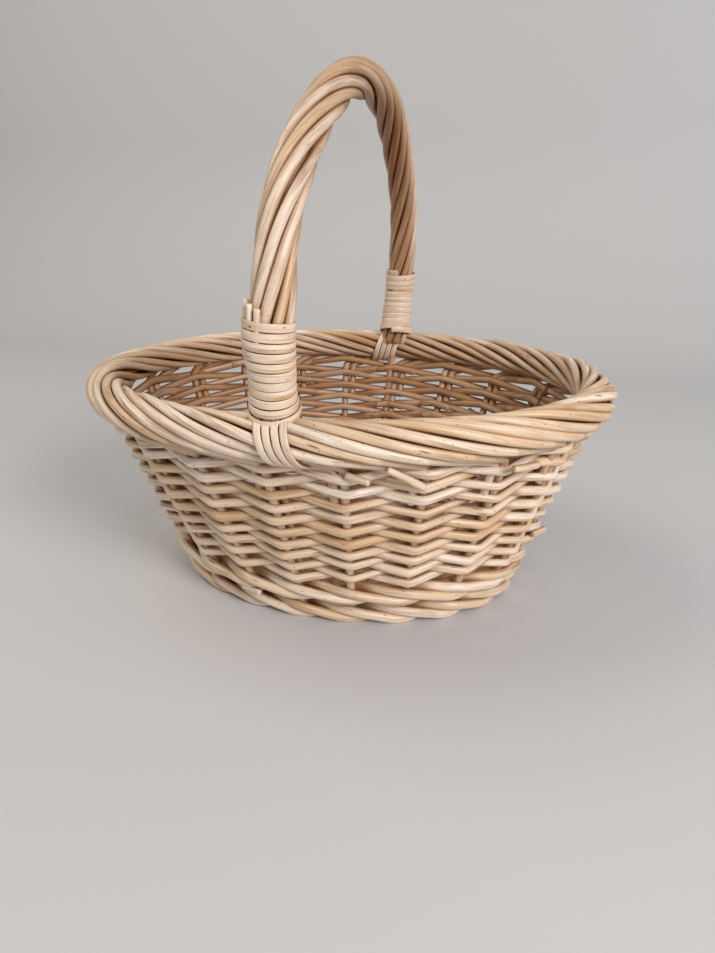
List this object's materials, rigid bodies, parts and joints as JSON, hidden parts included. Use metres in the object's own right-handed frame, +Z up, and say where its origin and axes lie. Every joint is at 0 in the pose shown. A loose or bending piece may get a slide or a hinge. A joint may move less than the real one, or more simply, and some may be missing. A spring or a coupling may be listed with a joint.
{
  "type": "woven market basket",
  "caption": "Oval woven willow market basket with flared openwork sides, a thick rope border and a fixed roped handle over the short way.",
  "frame": {"origin": "on the ground under the middle of the basket", "axes": "+Z up, X along the basket's length, Y along its width, which the handle spans"},
  "size_m": [0.3217, 0.2703, 0.2986],
  "materials": {
    "buff_willow": "satin peeled rod",
    "willow_skein": "satin split and shaved"
  },
  "bodies": {
    "root": {"base_sticks_across": "buff_willow", "base_sticks_along": "buff_willow", "base_weave_over": "buff_willow", "base_weave_under": "buff_willow", "border_core": "buff_willow", "border_lashing_back": "willow_skein", "border_lashing_front": "willow_skein", "border_strand_01": "buff_willow", "border_strand_02": "buff_willow", "border_strand_03": "buff_willow", "border_strand_04": "buff_willow", "border_strand_05": "buff_willow", "border_strand_06": "buff_willow", "border_strand_07": "buff_willow", "border_strand_08": "buff_willow", "border_strand_09": "buff_willow", "border_strand_10": "buff_willow", "foot_wale_1": "buff_willow", "foot_wale_2": "buff_willow", "foot_wale_3": "buff_willow", "foot_wale_4": "buff_willow", "foot_wale_5": "buff_willow", "handle_bow": "buff_willow", "handle_rod_1": "buff_willow", "handle_rod_2": "buff_willow", "handle_rod_3": "buff_willow", "handle_rod_4": "buff_willow", "handle_rod_5": "buff_willow", "handle_rod_6": "buff_willow", "handle_rod_7": "buff_willow", "handle_rod_8": "buff_willow", "handle_wrap_back": "willow_skein", "handle_wrap_front": "willow_skein", "side_stakes": "buff_willow", "siding_row_01": "buff_willow", "siding_row_02": "buff_willow", "siding_row_03": "buff_willow", "siding_row_04": "buff_willow", "siding_row_05": "buff_willow", "siding_row_06": "buff_willow", "siding_row_07": "buff_willow", "siding_row_08": "buff_willow", "siding_row_09": "buff_willow", "siding_row_10": "buff_willow", "siding_row_11": "buff_willow", "siding_row_12": "buff_willow", "siding_row_13": "buff_willow", "siding_row_14": "buff_willow", "siding_row_15": "buff_willow", "siding_row_16": "buff_willow", "siding_row_17": "buff_willow", "siding_row_18": "buff_willow"}
  },
  "joints": []
}
